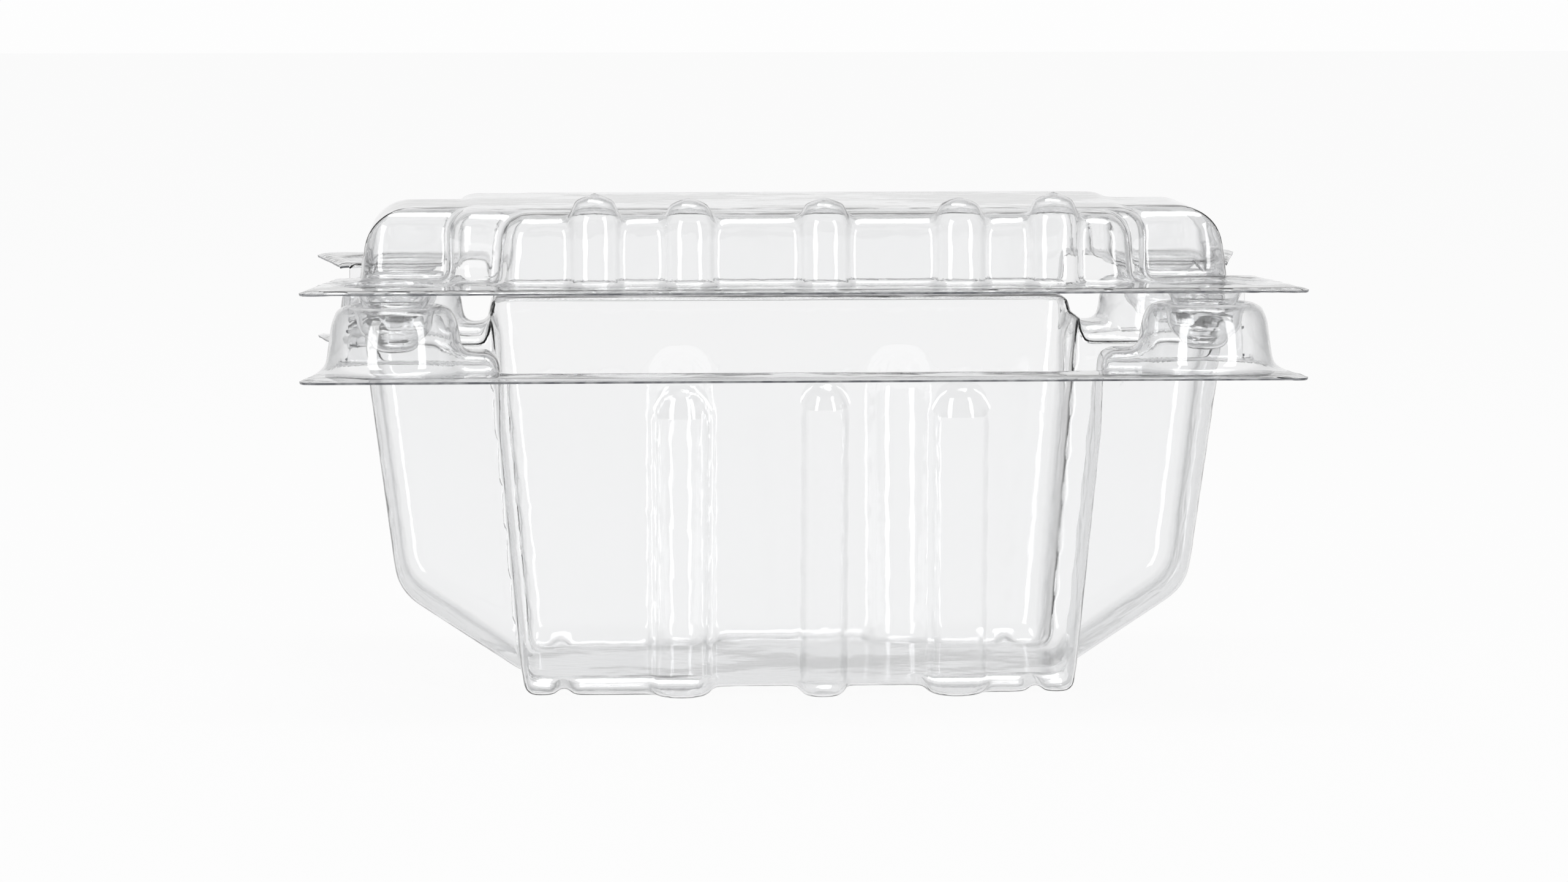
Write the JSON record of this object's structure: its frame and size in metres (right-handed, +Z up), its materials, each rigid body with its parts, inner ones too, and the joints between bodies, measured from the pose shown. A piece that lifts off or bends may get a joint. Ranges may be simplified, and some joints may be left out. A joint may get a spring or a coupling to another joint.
{
  "type": "clear plastic clamshell fruit punnet",
  "caption": "Clear formed film punnet: a notched tub and a domed lid joined by a fold along the rear, with ribs, an open front vent and corner buttons.",
  "frame": {"origin": "centre of the footprint, on the surface the feet stand on", "axes": "+Z up, +X along the hinge towards the viewer's right, +Y from the open front to the hinge at the rear"},
  "size_m": [0.1888, 0.112, 0.0968],
  "materials": {
    "clear_film": "clear glossy formed film, colourless, slightly wavy"
  },
  "bodies": {
    "tub": {"base_tub": "clear_film"},
    "lid": {"lid": "clear_film"}
  },
  "joints": [
    {"name": "lid_fold", "type": "hinge", "parent": "tub", "child": "lid", "pos_m": [0, 0.0562, 0.071], "axis": [-1, 0, 0], "range_deg": [0, 180]}
  ]
}
